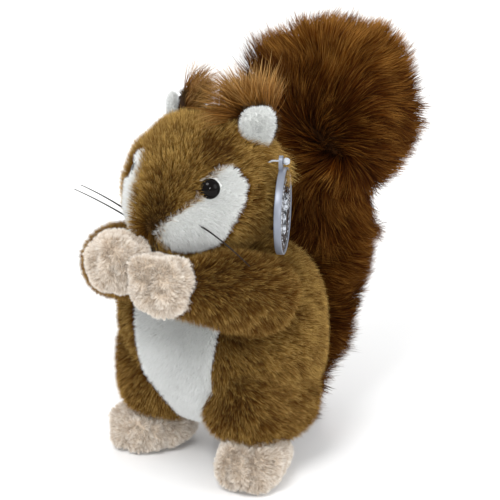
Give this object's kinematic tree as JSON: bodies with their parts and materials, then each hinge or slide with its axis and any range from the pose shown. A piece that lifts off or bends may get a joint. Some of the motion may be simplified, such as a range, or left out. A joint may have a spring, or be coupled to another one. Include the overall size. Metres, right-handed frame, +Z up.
{
  "type": "plush squirrel",
  "caption": "Plush squirrel standing upright on its feet, paws held to its mouth, with a tall curled tail and a round hang tag.",
  "frame": {"origin": "centre of the squirrel's footprint, on the floor it stands on", "axes": "+Z up, the squirrel faces -Y, its left side is +X"},
  "size_m": [0.1192, 0.2176, 0.207],
  "materials": {
    "brown_plush": "olive-brown pile",
    "white_plush": "short white pile",
    "beige_plush": "pinkish beige curly pile",
    "tail_plush": "long red-brown pile",
    "eye_black": "polished",
    "whisker_nylon": "smooth filament",
    "tag_silver": "silvered, with a raised rim",
    "pin_plastic": "translucent white",
    "label_orange": "woven ribbon",
    "stuffing": "loose polyester fibre",
    "washer_plastic": "moulded"
  },
  "bodies": {
    "root": {"arm_left": "brown_plush", "arm_right": "brown_plush", "body_cover": "brown_plush", "ear_back_left": "brown_plush", "ear_back_right": "brown_plush", "head_cover": "brown_plush", "leg_left": "brown_plush", "leg_right": "brown_plush", "belly_panel": "white_plush", "ear_lining_left": "white_plush", "ear_lining_right": "white_plush", "face_patch_left": "white_plush", "face_patch_right": "white_plush", "foot_left": "beige_plush", "foot_right": "beige_plush", "paw_left": "beige_plush", "paw_right": "beige_plush", "tail_cover": "tail_plush", "eye_left": "eye_black", "eye_right": "eye_black", "nose": "eye_black", "whisker_left": "whisker_nylon", "whisker_right_lower": "whisker_nylon", "whisker_right_upper": "whisker_nylon", "hang_tag": "tag_silver", "tag_pin": "pin_plastic", "sewn_label": "label_orange", "arm_stuffing_left": "stuffing", "arm_stuffing_right": "stuffing", "body_stuffing": "stuffing", "foot_stuffing_left": "stuffing", "foot_stuffing_right": "stuffing", "head_stuffing": "stuffing", "leg_stuffing_left": "stuffing", "leg_stuffing_right": "stuffing", "tail_stuffing": "stuffing", "eye_washer_left": "washer_plastic", "eye_washer_right": "washer_plastic"}
  },
  "joints": []
}
